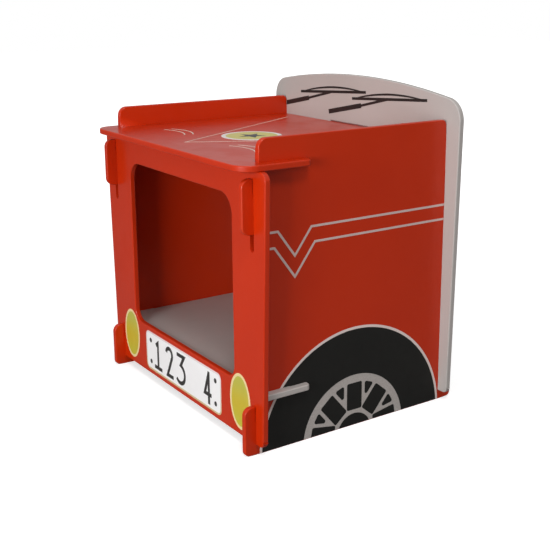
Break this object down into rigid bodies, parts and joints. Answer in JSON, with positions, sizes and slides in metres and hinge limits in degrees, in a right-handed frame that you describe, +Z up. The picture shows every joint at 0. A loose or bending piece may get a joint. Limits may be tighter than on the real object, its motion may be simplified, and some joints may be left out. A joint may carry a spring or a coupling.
{
  "type": "bedside cabinet",
  "caption": "Child's open-fronted bedside cabinet shaped like a toy car: slotted painted boards, rounded window opening, railed top, shelf, and car graphics.",
  "frame": {"origin": "on the floor, under the middle of the cabinet's bounding box", "axes": "+Z up, -Y out of the open front, +X to the right seen from the front"},
  "size_m": [0.4994, 0.399, 0.502],
  "materials": {
    "red_lacquer": "semi-gloss red lacquer on 9 mm fibreboard",
    "silver_lacquer": "satin silver-grey lacquer on 9 mm fibreboard",
    "cream_film": "printed transfer, satin",
    "white_film": "printed transfer, satin",
    "black_film": "printed transfer, satin",
    "lamp_yellow_film": "printed transfer, satin, shaded from lime to gold",
    "badge_yellow_film": "printed transfer, satin",
    "badge_grey_film": "printed transfer, satin",
    "silver_film": "printed transfer, satin"
  },
  "bodies": {
    "root": {"front_panel": "red_lacquer", "left_side_panel": "red_lacquer", "right_side_panel": "red_lacquer", "top_panel": "red_lacquer", "back_panel": "silver_lacquer", "lower_shelf": "silver_lacquer", "headlamp_rims": "cream_film", "headlamp_lenses": "lamp_yellow_film", "number_plate_border": "cream_film", "number_plate_face": "white_film", "number_plate_digits": "black_film", "number_plate_bolts": "black_film", "bonnet_creases": "cream_film", "bonnet_vents": "cream_film", "badge_border": "white_film", "badge_field": "badge_yellow_film", "badge_star": "badge_grey_film", "left_wiper": "black_film", "right_wiper": "black_film", "left_stripes": "silver_film", "right_stripes": "silver_film", "left_wheel_arch_line": "cream_film", "right_wheel_arch_line": "cream_film", "left_tyre": "black_film", "right_tyre": "black_film", "left_wheel": "silver_film", "right_wheel": "silver_film"}
  },
  "joints": []
}
